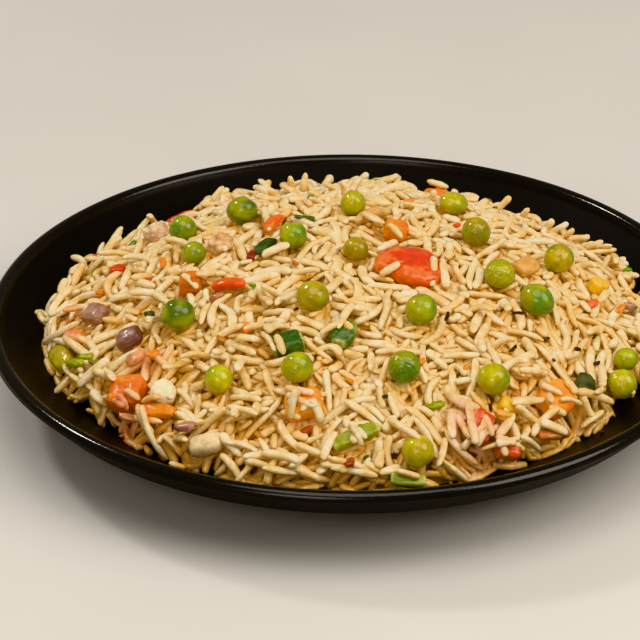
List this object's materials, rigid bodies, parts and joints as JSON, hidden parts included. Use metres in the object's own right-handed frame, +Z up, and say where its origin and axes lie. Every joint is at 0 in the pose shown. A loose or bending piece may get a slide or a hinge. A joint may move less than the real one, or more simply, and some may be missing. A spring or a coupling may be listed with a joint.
{
  "type": "vegetable pulao on a plate",
  "caption": "Cooked rice pulao with peas, cauliflower, carrot, tomato and onion heaped on a round black coupe plate",
  "frame": {"origin": "under the middle of the plate, on the surface that it stands on", "axes": "+Z up, +X to the right and +Y away from the camera of the picture"},
  "size_m": [0.2, 0.2, 0.0508],
  "materials": {
    "plate": "black satin glaze",
    "rice": "cooked long rice grains, cream with warm oil",
    "pea": "cooked green peas, moist skin",
    "carrot": "cooked diced carrot, moist",
    "corn": "cooked sweetcorn, moist",
    "cauliflower": "cooked cauliflower, pale cream",
    "onion": "softened onion, translucent",
    "tomato": "cooked tomato, wet skin",
    "bean": "cooked green bean and chilli, moist",
    "pepper": "cooked sweet pepper strips, moist",
    "leaf": "wilted green herb leaf"
  },
  "bodies": {
    "root": {"bean_01": "bean", "bean_02": "bean", "bean_03": "bean", "bean_04": "bean", "carrot_01": "carrot", "carrot_02": "carrot", "carrot_03": "carrot", "carrot_04": "carrot", "carrot_05": "carrot", "carrot_06": "carrot", "cauliflower_01": "cauliflower", "cauliflower_02": "cauliflower", "cauliflower_03": "cauliflower", "cauliflower_04": "cauliflower", "corn_01": "corn", "corn_02": "corn", "leaf_01": "leaf", "leaf_02": "leaf", "onion_01": "onion", "onion_02": "onion", "onion_03": "onion", "onion_04": "onion", "onion_05": "onion", "pea_01": "pea", "pea_02": "pea", "pea_03": "pea", "pea_04": "pea", "pea_05": "pea", "pea_06": "pea", "pea_07": "pea", "pea_08": "pea", "pea_09": "pea", "pea_10": "pea", "pea_11": "pea", "pea_12": "pea", "pea_13": "pea", "pea_14": "pea", "pea_15": "pea", "pea_16": "pea", "pea_17": "pea", "pea_18": "pea", "pea_19": "pea", "pea_20": "pea", "pea_21": "pea", "pea_22": "pea", "pea_23": "pea", "pea_24": "pea", "pea_25": "pea", "pepper_01": "pepper", "pepper_02": "pepper", "pepper_03": "pepper", "pepper_04": "pepper", "pepper_05": "pepper", "plate": "plate", "rice": "rice", "tomato_01": "tomato", "tomato_02": "tomato", "tomato_03": "tomato", "tomato_04": "tomato", "tomato_05": "tomato"}
  },
  "joints": []
}
